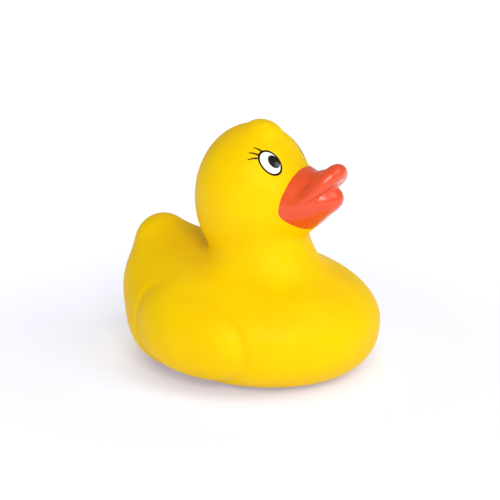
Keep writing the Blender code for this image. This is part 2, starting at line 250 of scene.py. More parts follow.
BILL_FILLET, BILL_FILLET_GAIN, BILL_FILLET_HEIGHT = 3.5, 0.2, 57.0
BILL_FILLET_RANGE = (3.0, 6.0)


def upper_lip_field(points):
    x, y, z = in_frame(points, UPPER_LIP_MIDDLE, UPPER_LIP_PITCH)
    roof = egg(x, y, z - ROOF_LIFT, ROOF_RADII)
    half_width = RIM_HALF_WIDTH - RIM_TAPER * x
    ring = np.sqrt((x / RIM_LENGTH) ** 2 + (y / half_width) ** 2) - RIM_PLACE
    roll = RIM_THIN + (RIM_THICK - RIM_THIN) * soft_step((x - RIM_GROWS_FROM) / RIM_GROWS_OVER)
    rim = np.hypot(ring * RIM_HALF_WIDTH * RIM_SQUEEZE, z - RIM_LIFT + RIM_DROOP * y**2) - roll
    return melt(roof, rim, LIP_FILLET)


def lower_lip_field(points):
    x, y, z = in_frame(points, LOWER_LIP_MIDDLE, LOWER_LIP_PITCH)
    z = z + LOWER_LIP_DROP - LOWER_LIP_SAG * y**2
    half_width = LOWER_LIP_HALF_WIDTH - LOWER_LIP_TAPER * x
    across = np.sqrt((x / LOWER_LIP_LENGTH) ** 2 + (y / half_width) ** 2)
    up = np.abs(z) / LOWER_LIP_HEIGHT
    share = (across**LOWER_LIP_POWER + up**LOWER_LIP_POWER) ** (1.0 / LOWER_LIP_POWER)
    slope = np.sqrt((x / LOWER_LIP_LENGTH**2) ** 2 + (y / half_width**2) ** 2 + (z / LOWER_LIP_HEIGHT**2) ** 2)
    return share * (share - 1.0) / np.maximum(slope, 0.001)


def bill_field(points):
    lips = melt(melt(upper_lip_field(points), lump_field(points, TONGUE), LIP_FILLET),
                lower_lip_field(points), LIP_FILLET)
    return melt(lump_field(points, BILL_BASE), lips, BILL_BASE_FILLET)


# %% The whole duck
FOOT_FILLET = 2.0


def skin_field(points):
    """The whole duck's outside, cut flat at the foot."""
    shoulder = np.clip(SHOULDER_FILLET + SHOULDER_FILLET_GAIN * points[:, 0],
                       0.5 * SHOULDER_FILLET, 1.5 * SHOULDER_FILLET)
    chin = np.clip(BILL_FILLET + BILL_FILLET_GAIN * (BILL_FILLET_HEIGHT - points[:, 2]), *BILL_FILLET_RANGE)
    duck = melt(hull_field(points) - wing_relief(points), tail_field(points), TAIL_FILLET)
    duck = melt(duck, head_field(points), shoulder)
    duck = melt(duck, lump_field(points, MUZZLE), MUZZLE_FILLET)
    duck = with_tuft(melt(duck, bill_field(points), chin), points)
    return pare(duck, -points[:, 2], FOOT_FILLET)


# %% [markdown]
# ### From field to mesh
#
# A field has no faces yet. A voxel remesh of rough balls would lose the thin lips. A surface net keeps them: space
# is cut into small cells, every cell that the skin passes through gets one point, and every cell edge that crosses
# the skin joins the four points round it into a quad. The quads are then even and closed by construction. A few
# rounds of smoothing, each followed by a walk down the field's slope, put every point exactly on the skin.

# %% A surface net round the field
SKIN_CELL = 0.6
NET_MARGIN = 2.0


def net_grid(low, high, cell):
    counts = np.ceil((high - low) / cell).astype(int) + 1
    return counts, [low[axis] + cell * np.arange(counts[axis]) for axis in range(3)]


def surface_net(field, low, high, cell):
    """Points and quads of a closed net round the field's inside."""
    counts, lines = net_grid(low, high, cell)
    inside = np.empty(counts, dtype=bool)
    sheet_y, sheet_z = (part.ravel() for part in np.meshgrid(lines[1], lines[2], indexing="ij"))
    for index, x in enumerate(lines[0]):
        sheet = np.column_stack([np.full(sheet_y.shape, x), sheet_y, sheet_z])
        inside[index] = (field(sheet) < 0.0).reshape(counts[1:])
    corners = sum(inside[i:counts[0] - 1 + i, j:counts[1] - 1 + j, k:counts[2] - 1 + k].astype(int)
                  for i in (0, 1) for j in (0, 1) for k in (0, 1))
    crossed = (corners > 0) & (corners < 8)
    number = np.full(crossed.shape, -1)
    number[crossed] = np.arange(crossed.sum())
    points = low + (np.argwhere(crossed) + 0.5) * cell
    quads = []
    for axis in range(3):
        ahead = np.roll(inside, -1, axis)
        left, right = (axis + 1) % 3, (axis + 2) % 3
        for here, there, turn in ((inside, ahead, 1), (ahead, inside, -1)):
            starts = np.argwhere(here & ~there)
            steps = np.zeros((4, 3), dtype=int)
            steps[[0, 3], left] = -1
            steps[[0, 1], right] = -1
            cells = starts[:, None, :] + steps[::turn]
            quads.append(number[cells[..., 0], cells[..., 1], cells[..., 2]])
    return points, np.concatenate(quads)


# %% Settle the net onto the skin
SETTLE_PASSES, SETTLE_STEPS = 4, 3
SLOPE_STEP, LONGEST_MOVE = 0.02, 0.5


def slope_of(field, points):
    """The field's slope at each point, from its values on either side along each axis."""
    steps = np.eye(3) * SLOPE_STEP
    return np.stack([field(points + step) - field(points - step) for step in steps], 1) / (2.0 * SLOPE_STEP)


def settle(field, points):
    """Move the points along the field's slope until the field is zero there."""
    for _ in range(SETTLE_STEPS):
        slope = slope_of(field, points)
        move = slope * (field(points) / np.maximum((slope**2).sum(1), 0.01))[:, None]
        length = np.linalg.norm(move, axis=1, keepdims=True)
        points = points - move * np.minimum(1.0, LONGEST_MOVE / np.maximum(length, LONGEST_MOVE))
    return points


def settled_duck():
    low, high = (np.array(corner) / MM - FOOT / MM for corner in (body_low, body_high))
    points, quads = surface_net(skin_field, low - NET_MARGIN, high + NET_MARGIN, SKIN_CELL)
    points = settle(skin_field, points)
    mesh = bpy.data.meshes.new("duck_skin")
    mesh.from_pydata(points.tolist(), [], quads.tolist())
    shell = bmesh.new()
    shell.from_mesh(mesh)
    for _ in range(SETTLE_PASSES):
        bmesh.ops.smooth_vert(shell, verts=shell.verts, factor=0.5,
                              use_axis_x=True, use_axis_y=True, use_axis_z=True)
        places = settle(skin_field, np.array([vert.co[:] for vert in shell.verts]))
        for vert, place in zip(shell.verts, places):
            vert.co = place
    print("open edges in the net:", sum(not edge.is_manifold for edge in shell.edges))
    shell.to_mesh(mesh)
    shell.free()
    return mesh


def evaluated_mesh(helper, name):
    """The helper's mesh with its modifiers applied. The helper itself is removed."""
    bpy.context.scene.collection.objects.link(helper)
    graph = bpy.context.evaluated_depsgraph_get()
    mesh = bpy.data.meshes.new_from_object(helper.evaluated_get(graph))
    mesh.name = name
    bpy.data.objects.remove(helper)
    return mesh


skin_mesh = settled_duck()
print("the skin has", len(skin_mesh.polygons), "quads")

# %% [markdown]
# ### The foot
#
# Under the duck, the mould leaves a shallow round recess with a small air hole in its middle. Both are cut with one
# turned plug, whose profile has rounded corners, so that the cut edges are soft as cast vinyl is.

# %% Foot recess and air hole
RECESS_RADIUS, RECESS_DEPTH = 8.0, 0.8
AIR_HOLE_RADIUS, AIR_HOLE_DEPTH = 1.6, 7.0
EDGE_ROUND, EDGE_STEPS = 0.5, 4
PLUG_START, PLUG_SIDES, PLUG_MERGE = -1.0, 64, 0.0001


def rounded_corner(r, z, start_degrees, end_degrees):
    """Points of a quarter-round about (r, z), for a turned profile."""
    for step in range(EDGE_STEPS + 1):
        angle = math.radians(start_degrees + (end_degrees - start_degrees) * step / EDGE_STEPS)
        yield r + EDGE_ROUND * math.cos(angle), z + EDGE_ROUND * math.sin(angle)


def foot_plug():
    """The turned plug whose shape is left in the foot."""
    profile = [(0.0, PLUG_START), (RECESS_RADIUS + EDGE_ROUND, PLUG_START)]
    profile += rounded_corner(RECESS_RADIUS + EDGE_ROUND, EDGE_ROUND, 270.0, 180.0)
    profile += [(RECESS_RADIUS, RECESS_DEPTH), (AIR_HOLE_RADIUS + EDGE_ROUND, RECESS_DEPTH)]
    profile += rounded_corner(AIR_HOLE_RADIUS + EDGE_ROUND, RECESS_DEPTH + EDGE_ROUND, 270.0, 180.0)
    profile += [(AIR_HOLE_RADIUS, AIR_HOLE_DEPTH), (0.0, AIR_HOLE_DEPTH)]
    plug = bmesh.new()
    verts = [plug.verts.new((r, 0.0, z)) for r, z in profile]
    edges = [plug.edges.new(pair) for pair in zip(verts, verts[1:])]
    bmesh.ops.spin(plug, geom=verts + edges, cent=(0.0, 0.0, 0.0), axis=(0.0, 0.0, 1.0),
                   angle=math.tau, steps=PLUG_SIDES)
    bmesh.ops.remove_doubles(plug, verts=plug.verts, dist=PLUG_MERGE)
    bmesh.ops.recalc_face_normals(plug, faces=plug.faces)
    mesh = bpy.data.meshes.new("foot_plug")
    plug.to_mesh(mesh)
    plug.free()
    return mesh


def with_foot_cut(mesh):
    plug = bpy.data.objects.new("foot_plug", foot_plug())
    bpy.context.scene.collection.objects.link(plug)
    helper = bpy.data.objects.new("duck_skin", mesh)
    cut = helper.modifiers.new("foot_cut", "BOOLEAN")
    cut.operation = "DIFFERENCE"
    cut.solver = "EXACT"
    cut.object = plug
    result = evaluated_mesh(helper, "duck_skin")
    bpy.data.objects.remove(plug)
    return result


skin_mesh = with_foot_cut(skin_mesh)
print("with its foot cut, the skin has", len(skin_mesh.polygons), "faces")

# %% [markdown]
# ## Colour
#
# The bill's colour is sprayed through a mask onto the yellow moulding. The line on the cheeks is the mask's edge.
# The skin carries that edge as an attribute, the distance in millimetres from each point to the line, and the
# shader turns it into paint. So the line stays sharp however close one looks, and the spray can fade over a fraction
# of a millimetre.

# %% Where the spray mask runs
CHEEK_LINE, CHEEK_LINE_LEAN = 7.95, 9.9
CHIN_LINE, CHIN_LINE_LEAN = 50.6, 41.3
MASK_CORNER = 2.0


def spray_distance(points):
    """Distance from the spray mask's edge, negative under the paint: a cheek line and a chin line, rounded."""
    cheek, chin = math.radians(CHEEK_LINE_LEAN), math.radians(CHIN_LINE_LEAN)
    from_cheek = CHEEK_LINE - points[:, 0] * math.cos(cheek) + points[:, 2] * math.sin(cheek)
    from_chin = CHIN_LINE - points[:, 0] * math.sin(chin) - points[:, 2] * math.cos(chin)
    return pare(from_cheek, from_chin, MASK_CORNER)


def to_frame(points):
    """Drawing millimetres to the frame's metres."""
    return points * MM + FOOT


places = np.empty(len(skin_mesh.vertices) * 3)
skin_mesh.vertices.foreach_get("co", places)
places = places.reshape(-1, 3)
spray = skin_mesh.attributes.new("spray_edge", "FLOAT", "POINT")
spray.data.foreach_set("value", spray_distance(places))
skin_mesh.vertices.foreach_set("co", to_frame(places).ravel())
skin_mesh.shade_smooth()
duck_skin = bpy.data.objects.new("duck_skin", skin_mesh)
bpy.context.scene.collection.objects.link(duck_skin)
print("painted share of the skin's points:", round(float((spray_distance(places) < 0.0).mean()), 3))

# %% [markdown]
# ### Three shared effects
#
# Cast vinyl isn't quite smooth or even. The hot mould leaves a very fine orange peel, the pigment settles in clouds
# that are only a shade apart, and hands rub the gloss duller in places. Every finish on the duck sits on that same
# skin, the paint and the inks too. So the effects live in one node group, `vinyl_skin`, which each material takes
# with its own values. It reads Object coordinates, because the pattern belongs to the toy and must not slide when
# the camera moves.

# %% The vinyl skin group
CLOUD_SIZE, PEEL_SIZE, RUB_SHARE = 14.0, 0.55, 0.35
CLOUD_DETAIL, PEEL_DETAIL, RUB_DETAIL = 2.0, 1.0, 4.0


def vinyl_skin_group():
    group = bpy.data.node_groups.new("vinyl_skin", "ShaderNodeTree")
    for name, size in (("Cloud Size", CLOUD_SIZE), ("Peel Size", PEEL_SIZE)):
        group.interface.new_socket(name=name, in_out="INPUT", socket_type="NodeSocketFloat").default_value = size
    for name in ("Cloud", "Peel", "Rub"):
        group.interface.new_socket(name=name, in_out="OUTPUT", socket_type="NodeSocketFloat")
    nodes, links = group.nodes, group.links
    given, made = nodes.new("NodeGroupInput"), nodes.new("NodeGroupOutput")
    place = nodes.new("ShaderNodeTexCoord")
    for name, size, detail, factor in (("Cloud", "Cloud Size", CLOUD_DETAIL, 1.0),
                                       ("Peel", "Peel Size", PEEL_DETAIL, 1.0),
                                       ("Rub", "Cloud Size", RUB_DETAIL, RUB_SHARE)):
        scale = nodes.new("ShaderNodeMath")
        scale.operation = "DIVIDE"
        scale.inputs[0].default_value = 1.0 / (factor * MM)
        links.new(given.outputs[size], scale.inputs[1])
        noise = nodes.new("ShaderNodeTexNoise")
        noise.inputs["Detail"].default_value = detail
        noise.inputs["Roughness"].default_value = 0.5
        links.new(place.outputs["Object"], noise.inputs["Vector"])
        links.new(scale.outputs[0], noise.inputs["Scale"])
        links.new(noise.outputs["Fac"], made.inputs[name])
    return group


vinyl_skin = vinyl_skin_group()
print("vinyl_skin gives", [socket.name for socket in vinyl_skin.nodes["Group Output"].inputs if socket.name])

# %% [markdown]
# ### Vinyl and paint
#
# Under the spray lies plain yellow vinyl, satin and so saturated that it reflects next to no blue. The orange paint
# hides it under a clear gloss, which is the coat. At the mask's edge the paint thins out within a third of a
# millimetre, and the edge wanders by a tenth, since a mask never fits a soft toy exactly.

# %% Vinyl with a sprayed bill
VINYL_LIGHT, VINYL_DEEP = (0.98, 0.645, 0.0, 1.0), (0.95, 0.600, 0.0, 1.0)
PAINT_WARM, PAINT_PINK = (0.79, 0.075, 0.006, 1.0), (0.81, 0.075, 0.018, 1.0)
VINYL_ROUGHNESS, PAINT_ROUGHNESS, GLOSS_ROUGHNESS = 0.45, 0.36, 0.24
VINYL_SHINE, INK_SHINE = 0.06, 0.06
VINYL_PEEL, INK_PEEL = 0.007, 0.004
SPRAY_FADE, SPRAY_WANDER = 0.3, 0.35
CLOUD_RANGE, PAINT_CLOUD_RANGE, RUB_RANGE = (0.35, 0.65), (0.4, 0.6), (0.3, 0.7)
VINYL_RUB = (-0.03, 0.05)


def ramp(nodes, links, source, low, high, to_low=0.0, to_high=1.0):
    """Map source from low..high to to_low..to_high with soft ends."""
    node = nodes.new("ShaderNodeMapRange")
    node.interpolation_type = "SMOOTHSTEP"
    for name, value in (("From Min", low), ("From Max", high), ("To Min", to_low), ("To Max", to_high)):
        node.inputs[name].default_value = value
    links.new(source, node.inputs["Value"])
    return node.outputs["Result"]


def colour_mix(nodes, links, factor, first, second):
    """Mix two colours by factor; each may be a colour or a socket."""
    mix = nodes.new("ShaderNodeMix")
    mix.data_type = "RGBA"
    links.new(factor, mix.inputs["Factor"])
    for socket, colour in ((mix.inputs[6], first), (mix.inputs[7], second)):
        if isinstance(colour, tuple):
            socket.default_value = colour
        else:
            links.new(colour, socket)
    return mix.outputs[2]


def combined(nodes, links, operation, first, second):
    """One math node; each input may be a number or a socket."""
    node = nodes.new("ShaderNodeMath")
    node.operation = operation
    for socket, value in zip(node.inputs, (first, second)):
        if isinstance(value, float):
            socket.default_value = value
        else:
            links.new(value, socket)
    return node.outputs[0]


def skin_effects(nodes, links, shader, peel_height):
    """Place the shared skin group in a material and let its peel roughen the shader's normal."""
    skin = nodes.new("ShaderNodeGroup")
    skin.node_tree = vinyl_skin
    bump = nodes.new("ShaderNodeBump")
    bump.inputs["Distance"].default_value = peel_height * MM
    links.new(skin.outputs["Peel"], bump.inputs["Height"])
    links.new(bump.outputs["Normal"], shader.inputs["Normal"])
    return skin


def yellow_vinyl():
    material = bpy.data.materials.new("yellow_vinyl")
    material.use_nodes = True
    nodes, links = material.node_tree.nodes, material.node_tree.links
    shader = nodes["Principled BSDF"]
    skin = skin_effects(nodes, links, shader, VINYL_PEEL)
    edge = nodes.new("ShaderNodeAttribute")
    edge.attribute_name = "spray_edge"
    wander = combined(nodes, links, "MULTIPLY", combined(nodes, links, "SUBTRACT", skin.outputs["Rub"], 0.5),
                      SPRAY_WANDER)
    line = combined(nodes, links, "ADD", edge.outputs["Fac"], wander)
    painted = ramp(nodes, links, line, 0.5 * SPRAY_FADE, -0.5 * SPRAY_FADE)
    cloud, paint_cloud = (ramp(nodes, links, skin.outputs["Cloud"], *ends)
                          for ends in (CLOUD_RANGE, PAINT_CLOUD_RANGE))
    vinyl = colour_mix(nodes, links, cloud, VINYL_LIGHT, VINYL_DEEP)
    paint = colour_mix(nodes, links, paint_cloud, PAINT_WARM, PAINT_PINK)
    links.new(colour_mix(nodes, links, painted, vinyl, paint), shader.inputs["Base Color"])
    gloss = ramp(nodes, links, painted, 0.0, 1.0, VINYL_ROUGHNESS, PAINT_ROUGHNESS)
    rub = ramp(nodes, links, skin.outputs["Rub"], *RUB_RANGE, *VINYL_RUB)
    links.new(combined(nodes, links, "ADD", gloss, rub), shader.inputs["Roughness"])
    shader.inputs["Specular IOR Level"].default_value = VINYL_SHINE
    links.new(painted, shader.inputs["Coat Weight"])
    shader.inputs["Coat Roughness"].default_value = GLOSS_ROUGHNESS
    return material


duck_skin.data.materials.clear()
duck_skin.data.materials.append(yellow_vinyl())
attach(duck_skin, "root")
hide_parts("duck_body")

# %% [markdown]
# ## Eyes
#
# The eyes are pad printed. A soft silicone pad picks the artwork up flat and presses it onto the head in one
# direction, so the drawing keeps its shape seen from there and wraps at its borders. The script does the same: each
# eye is drawn flat in its own plane, as a white oval, a dark pupil, an outline and three lashes, and then every
# point is pressed along the pad's direction until it meets the skin.
#
# The plane stands off the forehead. Its axes are the oval's long and short axis and the pad's direction. The left
# eye mirrors the right one, but its pad came down a few degrees further back round the head, as happens by hand.

# %% The eye's plane
EYE_MIDDLE = np.array([12.9, -8.6, 67.4])
EYE_LONG = np.array([0.693, 0.145, -0.705])
EYE_SHORT = np.array([0.258, 0.837, 0.483])
PAD_STANDOFF = 6.0
LEFT_EYE_TURN = 8.0
EYE_LONG = EYE_LONG / np.linalg.norm(EYE_LONG)
EYE_SHORT = EYE_SHORT - EYE_LONG * (EYE_SHORT @ EYE_LONG)
EYE_SHORT = EYE_SHORT / np.linalg.norm(EYE_SHORT)
EYE_OUT = np.cross(EYE_LONG, EYE_SHORT)
print("the pad presses along", (-EYE_OUT).round(3))

# %% [markdown]
# The artwork is built from one helper: a patch is a small grid of `u` and `v`, and a formula says where each of its
# corners lies in the eye's plane. An oval is such a patch wrapped round a centre, and a lash is one drawn out along
# a bent line and narrowed to a point. The left eye is the right one mirrored, with its faces turned back. Each
# corner also remembers the pad's direction and how near it lies to the pupil's painted glint, a bluish-grey patch
# painted where a reflection of the light would fall.

# %% Flat artwork
EYE_HALF_LENGTH, EYE_HALF_WIDTH, OUTLINE = 4.47, 3.1, 0.46
PUPIL_MIDDLE, PUPIL_HALF_LENGTH, PUPIL_HALF_WIDTH = (0.45, 1.1), 2.2, 1.6
# The pupil's painted glint: where a bluish-grey reflection of the light is painted into the pupil, and how wide it
# is.
GLINT_MIDDLE, GLINT_RADIUS = (1.8, 1.3), 0.9
OVAL_SIDES, WHITE_RINGS, OUTLINE_RINGS, PUPIL_RINGS = 72, 8, 2, 5
HEAD_MIDDLE = np.array(HEAD[0])
LASHES = (((-4.2, 0.45), (-5.6, 0.3), (-6.8, -0.45)),
          ((-4.1, -1.1), (-5.5, -1.7), (-6.5, -2.6)),
          ((-3.5, -2.1), (-4.5, -3.1), (-5.1, -4.4)))
LASH_WIDTH, LASH_TIP_WIDTH, LASH_STEPS, LASH_STRIPS = 0.56, 0.28, 14, 2
ART_MERGE = 0.002


def oval(u, v, middle, half_length, half_width, inner=0.0):
    """A point of an oval: u from inner to rim, v once round."""
    share = inner + (1.0 - inner) * u
    return (middle[0] + half_length * share * math.cos(math.tau * v),
            middle[1] + half_width * share * math.sin(math.tau * v))


def lash(u, v, root, bend, tip):
    """A point of a lash: u from root to tip, v across."""
    root, bend, tip = (np.array(place) for place in (root, bend, tip))
    place = root * (1 - u) ** 2 + bend * 2 * u * (1 - u) + tip * u**2
    along = (bend - root) * (1 - u) + (tip - bend) * u
    across = np.array([along[1], -along[0]]) / np.linalg.norm(along)
    width = LASH_WIDTH + (LASH_TIP_WIDTH - LASH_WIDTH) * u
    return tuple(place + across * width * (v - 0.5))


def mirrored(vector, side):
    """A vector of the right eye for one side: as it is for -1, mirrored and turned round the head for 1."""
    turn = math.radians(LEFT_EYE_TURN if side > 0 else 0.0)
    x, y, z = vector[0], -side * vector[1], vector[2]
    return np.array([x * math.cos(turn) - y * math.sin(turn), x * math.sin(turn) + y * math.cos(turn), z])


def add_patch(art, place, u_steps, v_steps, side, press, worn):
    """Add one patch of quads to the artwork."""
    rows = []
    for i in range(u_steps + 1):
        row = []
        for j in range(v_steps + 1):
            s, t = place(i / u_steps, j / v_steps)
            point = EYE_MIDDLE + EYE_LONG * s + EYE_SHORT * t + EYE_OUT * PAD_STANDOFF
            vert = art.verts.new(to_frame(HEAD_MIDDLE + mirrored(point - HEAD_MIDDLE, side)))
            vert[press] = mirrored(-EYE_OUT, side)
            # How near the point lies to the pupil's painted glint, a painted reflection of the light.
            vert[worn] = math.exp(-((s - GLINT_MIDDLE[0]) ** 2 + (t - GLINT_MIDDLE[1]) ** 2) / GLINT_RADIUS**2)
            row.append(vert)
        rows.append(row)
    for low, high in zip(rows, rows[1:]):
        for j in range(v_steps):
            corners = (low[j], high[j], high[j + 1], low[j + 1])
            art.faces.new(corners if side < 0 else corners[::-1])


def artwork(name, patches):
    """A flat mesh of patches for both eyes, which remembers the pad's direction."""
    art = bmesh.new()
    press = art.verts.layers.float_vector.new("press")
    worn = art.verts.layers.float.new("worn")
    for side in (-1, 1):
        for place, u_steps, v_steps in patches:
            add_patch(art, place, u_steps, v_steps, side, press, worn)
    bmesh.ops.remove_doubles(art, verts=art.verts, dist=ART_MERGE * MM)
    mesh = bpy.data.meshes.new(name)
    art.to_mesh(mesh)
    art.free()
    return mesh


def white_place(u, v):
    """The white reaches half way under the outline."""
    return oval(u, v, (0.0, 0.0), EYE_HALF_LENGTH - 0.5 * OUTLINE, EYE_HALF_WIDTH - 0.5 * OUTLINE)


def outline_place(u, v):
    return oval(u, v, (0.0, 0.0), EYE_HALF_LENGTH, EYE_HALF_WIDTH, 1.0 - OUTLINE / EYE_HALF_WIDTH)


def pupil_place(u, v):
    return oval(u, v, PUPIL_MIDDLE, PUPIL_HALF_LENGTH, PUPIL_HALF_WIDTH)


white_art = artwork("eye_whites", [(white_place, WHITE_RINGS, OVAL_SIDES)])
line_art = artwork("eye_lines", [(outline_place, OUTLINE_RINGS, OVAL_SIDES)] + [
    (lambda u, v, points=points: lash(u, v, *points), LASH_STEPS, LASH_STRIPS) for points in LASHES])
pupil_art = artwork("eye_pupils", [(pupil_place, PUPIL_RINGS, OVAL_SIDES)])
print("artwork faces:", [len(mesh.polygons) for mesh in (white_art, line_art, pupil_art)])

# %% [markdown]
# ### The pad press
#
# Geometry Nodes do the pressing. `pad_press` casts a ray from each point of the artwork along the pad's direction,
# puts the point where the ray meets the skin and a hair below it, and raises the faces to the ink's height above the
# skin. A flipped copy closes the film underneath, so each print is a thin closed solid that casts and catches light
# as a film of ink does.

# %% The pad_press tree
PAD_REACH = 4.0 * PAD_STANDOFF
FILM_MERGE = 0.0005


def pad_press_tree():
    tree = bpy.data.node_groups.new("pad_press", "GeometryNodeTree")
    sockets = {}
    for name, kind in (("Artwork", "NodeSocketGeometry"), ("Skin", "NodeSocketObject"),
                       ("Film Height", "NodeSocketFloat"), ("Film Root", "NodeSocketFloat"),
                       ("Ink", "NodeSocketMaterial")):
        sockets[name] = tree.interface.new_socket(name=name, in_out="INPUT", socket_type=kind).identifier
    tree.interface.new_socket(name="Print", in_out="OUTPUT", socket_type="NodeSocketGeometry")
    nodes, links = tree.nodes, tree.links
    given, made = nodes.new("NodeGroupInput"), nodes.new("NodeGroupOutput")

    skin = nodes.new("GeometryNodeObjectInfo")
    links.new(given.outputs["Skin"], skin.inputs["Object"])
    press = nodes.new("GeometryNodeInputNamedAttribute")
    press.data_type = "FLOAT_VECTOR"
    press.inputs["Name"].default_value = "press"
    ray = nodes.new("GeometryNodeRaycast")
    ray.inputs["Ray Length"].default_value = PAD_REACH * MM
    links.new(skin.outputs["Geometry"], ray.inputs["Target Geometry"])
    links.new(press.outputs["Attribute"], ray.inputs["Ray Direction"])

    def raised(height):
        """The hit normal times a height."""
        scale = nodes.new("ShaderNodeVectorMath")
        scale.operation = "SCALE"
        links.new(ray.outputs["Hit Normal"], scale.inputs[0])
        links.new(height, scale.inputs["Scale"])
        return scale.outputs["Vector"]

    sunk = nodes.new("ShaderNodeVectorMath")
    sunk.operation = "SUBTRACT"
    links.new(ray.outputs["Hit Position"], sunk.inputs[0])
    links.new(raised(given.outputs["Film Root"]), sunk.inputs[1])
    pressed = nodes.new("GeometryNodeSetPosition")
    links.new(given.outputs["Artwork"], pressed.inputs["Geometry"])
    links.new(sunk.outputs["Vector"], pressed.inputs["Position"])

    drawn_up = combined(nodes, links, "ADD", given.outputs["Film Root"], given.outputs["Film Height"])
    up = nodes.new("ShaderNodeVectorMath")
    up.operation = "SCALE"
    links.new(press.outputs["Attribute"], up.inputs[0])
    links.new(combined(nodes, links, "MULTIPLY", drawn_up, -1.0), up.inputs["Scale"])
    film = nodes.new("GeometryNodeExtrudeMesh")
    film.inputs["Individual"].default_value = False
    links.new(pressed.outputs["Geometry"], film.inputs["Mesh"])
    links.new(up.outputs["Vector"], film.inputs["Offset"])
    film.inputs["Offset Scale"].default_value = 1.0

    under = nodes.new("GeometryNodeFlipFaces")
    links.new(pressed.outputs["Geometry"], under.inputs["Mesh"])
    smooth = nodes.new("GeometryNodeSetShadeSmooth")
    links.new(film.outputs["Mesh"], smooth.inputs["Geometry"])
    links.new(film.outputs["Top"], smooth.inputs["Shade Smooth"])
    both = nodes.new("GeometryNodeJoinGeometry")
    links.new(under.outputs["Mesh"], both.inputs["Geometry"])
    links.new(smooth.outputs["Geometry"], both.inputs["Geometry"])
    weld = nodes.new("GeometryNodeMergeByDistance")
    weld.inputs["Distance"].default_value = FILM_MERGE * MM
    links.new(both.outputs["Geometry"], weld.inputs["Geometry"])
    real = nodes.new("GeometryNodeRealizeInstances")
    links.new(weld.outputs["Geometry"], real.inputs["Geometry"])
    inked = nodes.new("GeometryNodeSetMaterial")
    links.new(real.outputs["Geometry"], inked.inputs["Geometry"])
    links.new(given.outputs["Ink"], inked.inputs["Material"])
    links.new(inked.outputs["Geometry"], made.inputs["Print"])
    return tree, sockets


pad_press, pad_sockets = pad_press_tree()
print("pad_press takes", list(pad_sockets))


# %% Press one print
def mesh_bounds(mesh):
    points = np.empty(len(mesh.vertices) * 3)
    mesh.vertices.foreach_get("co", points)
    points = points.reshape(-1, 3)
    return points.min(0), points.max(0)


def press_print(art, height, ink):
    """Press the artwork onto the skin and keep the result as a plain mesh."""
    helper = bpy.data.objects.new(art.name, art)
    press = helper.modifiers.new("pad_press", "NODES")
    press.node_group = pad_press
    press[pad_sockets["Skin"]] = duck_skin
    press[pad_sockets["Film Height"]] = height * MM
    press[pad_sockets["Film Root"]] = FILM_ROOT * MM
    press[pad_sockets["Ink"]] = ink
    mesh = evaluated_mesh(helper, art.name)
    piece = bpy.data.objects.new(art.name, mesh)
    bpy.context.scene.collection.objects.link(piece)
    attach(piece, "root")
    low, high = mesh_bounds(mesh)
    print(art.name, "measures", ((high - low) / MM).round(1), "mm and has", len(mesh.polygons), "faces")


# %% [markdown]
# ### Inks
#
# Three inks are printed: an opaque white, a thin brown-black for the lines, and a black for the pupil. Ink is
# glossier than the vinyl and keeps its peel. White ink is never quite even over yellow, so it lets a trace of warmth
# through in clouds. The lines' ink is thin, so its brown shows. The pupil is near black, with a bluish-grey patch
# painted into it as a reflection of the light, a painted glint.

# %% Print the eyes
FILM_ROOT = 0.06
WHITE_HEIGHT, LINE_HEIGHT, PUPIL_HEIGHT = 0.03, 0.06, 0.05
WHITE_CLEAR, WHITE_CLOUDY = (0.94, 0.94, 0.92, 1.0), (0.90, 0.89, 0.84, 1.0)
BROWN_CLEAR, BROWN_CLOUDY = (0.018, 0.008, 0.004, 1.0), (0.008, 0.004, 0.003, 1.0)
BLACK_CLEAR, BLACK_CLOUDY = (0.006, 0.006, 0.006, 1.0), (0.012, 0.012, 0.012, 1.0)
# A bluish grey painted into the pupil as a reflection of the light: a painted glint.
PAINTED_GLINT_GREY = (0.10, 0.13, 0.15, 1.0)
INK_ROUGHNESS, BROWN_ROUGHNESS, INK_RUB = 0.35, 0.4, (-0.03, 0.04)
INK_CLOUD_SIZE, GLINT_RANGE = 2.5, (0.1, 1.0)


def ink(name, clear, cloudy, roughness, worn=None):
    """An ink of one colour with clouds of another, and a third painted in as a reflection of the light, a painted
    glint.
    """
    material = bpy.data.materials.new(name)
    material.use_nodes = True
    nodes, links = material.node_tree.nodes, material.node_tree.links
    shader = nodes["Principled BSDF"]
    skin = skin_effects(nodes, links, shader, INK_PEEL)
    skin.inputs["Cloud Size"].default_value = INK_CLOUD_SIZE
    cloud = ramp(nodes, links, skin.outputs["Cloud"], *CLOUD_RANGE)
    colour = colour_mix(nodes, links, cloud, clear, cloudy)
    if worn:
        # The painted glint: a painted reflection of the light, mixed into the pupil's ink.
        glint_spot = nodes.new("ShaderNodeAttribute")
        glint_spot.attribute_name = "worn"
        colour = colour_mix(nodes, links, ramp(nodes, links, glint_spot.outputs["Fac"], *GLINT_RANGE), colour, worn)
    links.new(colour, shader.inputs["Base Color"])
    dulled = (roughness + change for change in INK_RUB)
    links.new(ramp(nodes, links, skin.outputs["Rub"], *RUB_RANGE, *dulled), shader.inputs["Roughness"])
    shader.inputs["Specular IOR Level"].default_value = INK_SHINE
    return material


white_ink = ink("white_ink", WHITE_CLEAR, WHITE_CLOUDY, INK_ROUGHNESS)
line_ink = ink("line_ink", BROWN_CLEAR, BROWN_CLOUDY, BROWN_ROUGHNESS)
pupil_ink = ink("pupil_ink", BLACK_CLEAR, BLACK_CLOUDY, INK_ROUGHNESS, PAINTED_GLINT_GREY)
press_print(white_art, WHITE_HEIGHT, white_ink)
press_print(line_art, LINE_HEIGHT, line_ink)
press_print(pupil_art, PUPIL_HEIGHT, pupil_ink)
